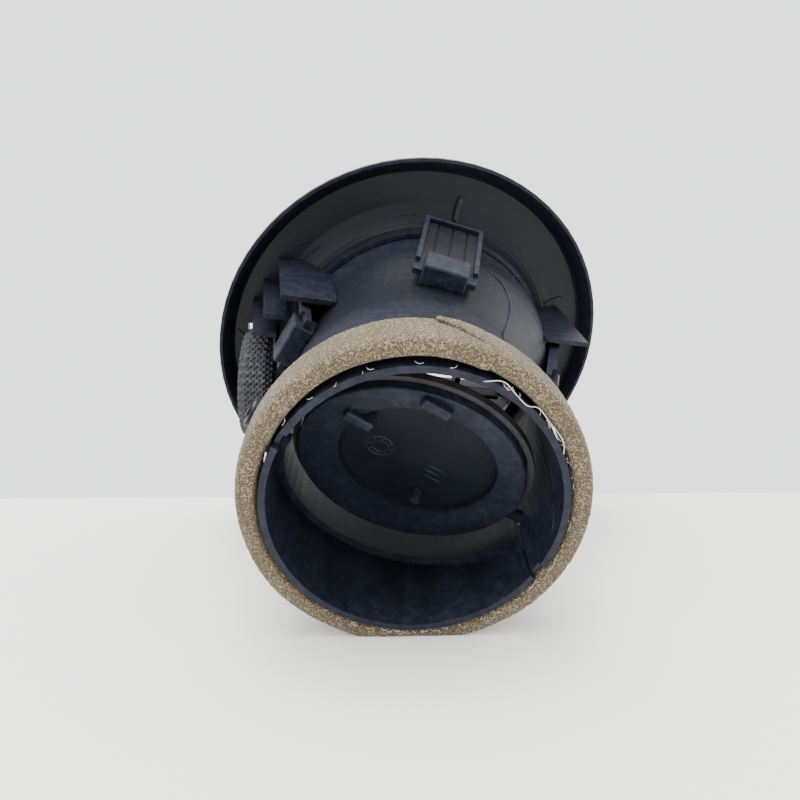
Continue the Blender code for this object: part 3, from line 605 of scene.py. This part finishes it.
def build_flap_marks():
    """Plain mould clock and rows of dashes on the flap, in place of lettering."""
    ring_mark("mould_clock_outer", CLOCK_CENTRE, 3.3, 0.16)
    ring_mark("mould_clock_inner", CLOCK_CENTRE, 1.9, 0.14)
    for i in range(CLOCK_TICKS):
        turn = math.radians(360 / CLOCK_TICKS * i + 10)
        inner = (CLOCK_CENTRE[0] + 2.2 * math.cos(turn), CLOCK_CENTRE[1] + 2.2 * math.sin(turn))
        outer = (CLOCK_CENTRE[0] + 3.0 * math.cos(turn), CLOCK_CENTRE[1] + 3.0 * math.sin(turn))
        bar_mark(f"mould_clock_tick_{i + 1}", inner, outer)
    for row, (start, length) in enumerate(((3.0, 6.0), (3.4, 4.6), (3.8, 5.4))):
        level = 2.6 - 1.9 * row
        bar_mark(f"mould_dash_{row + 1}", (start, level), (start + length, level))


def build_witness_line():
    """Thin mould line along the inside of the duct wall."""
    stops = [(10.0, -30.0), (2.0, -17.0), (-8.0, -6.0), (-15.0, -2.6)]
    path = []
    for degrees, height in stops:
        middle = polar(DUCT, 0.0, degrees, height)
        outward = (polar(DUCT, 10.0, degrees, height) - middle).normalized()
        path.append(drop("housing", middle, outward))
    corners, faces = tube_rings(curved(path, 8), 0.10 * MM, 6, taper=True)
    link_mesh("wall_witness_line", corners, faces, MATERIALS["trim_plastic"], "shell")


# ---------------------------------------------------------------- stage

def build_camera():
    data = bpy.data.cameras.new("camera")
    data.lens = CAMERA_LENS
    data.sensor_width = 36.0
    data.clip_start = 0.005
    camera = bpy.data.objects.new("camera", data)
    camera.location = DUCT.translation + CAMERA_OFFSET
    camera.rotation_euler = Euler((math.radians(90 - CAMERA_TILT_DOWN), 0, math.radians(CAMERA_PAN)))
    bpy.context.scene.collection.objects.link(camera)
    bpy.context.scene.camera = camera


def build_table():
    half, thick = 1.4, 0.02
    shape = bmesh.new()
    for x in (-half, half):
        for y in (-half, TABLE_EDGE):
            for z in (-thick, 0.0):
                shape.verts.new((x, y, z))
    bmesh.ops.convex_hull(shape, input=shape.verts)
    mesh = bpy.data.meshes.new("table")
    shape.to_mesh(mesh)
    shape.free()
    mesh.materials.append(table_paint("table_paint", (0.88, 0.87, 0.85)))
    table = bpy.data.objects.new("table", mesh)
    bpy.context.scene.collection.objects.link(table)


def area_light(name, place, aim, size, power, colour):
    data = bpy.data.lights.new(name, "AREA")
    data.shape = "DISK"
    data.size = size
    data.energy = power
    data.color = colour
    light = bpy.data.objects.new(name, data)
    light.location = place
    light.rotation_euler = (Vector(aim) - Vector(place)).to_track_quat("-Z", "Y").to_euler()
    bpy.context.scene.collection.objects.link(light)


def build_light():
    world = bpy.data.worlds.new("room")
    world.use_nodes = True
    background = world.node_tree.nodes["Background"]
    background.inputs["Color"].default_value = (0.93, 0.945, 0.95, 1.0)
    background.inputs["Strength"].default_value = 2.3
    bpy.context.scene.world = world
    area_light("ceiling", (-0.10, -0.10, 0.95), (0, 0, 0.03), 0.8, 14.0, (1.0, 0.99, 0.97))
    area_light("window", (-0.75, -0.45, 0.55), (0, 0, 0.05), 0.7, 3.0, (0.93, 0.97, 1.0))
    area_light("warm_side", (0.8, 0.1, 0.5), (0, 0, 0.05), 0.6, 1.6, (1.0, 0.90, 0.78))


build_camera()
build_table()
build_light()
dress_nodes()
build_foam_strip()
build_thread()
build_fibres()
build_bezel_marks()
build_neck_ridge()
build_flap_marks()
build_witness_line()
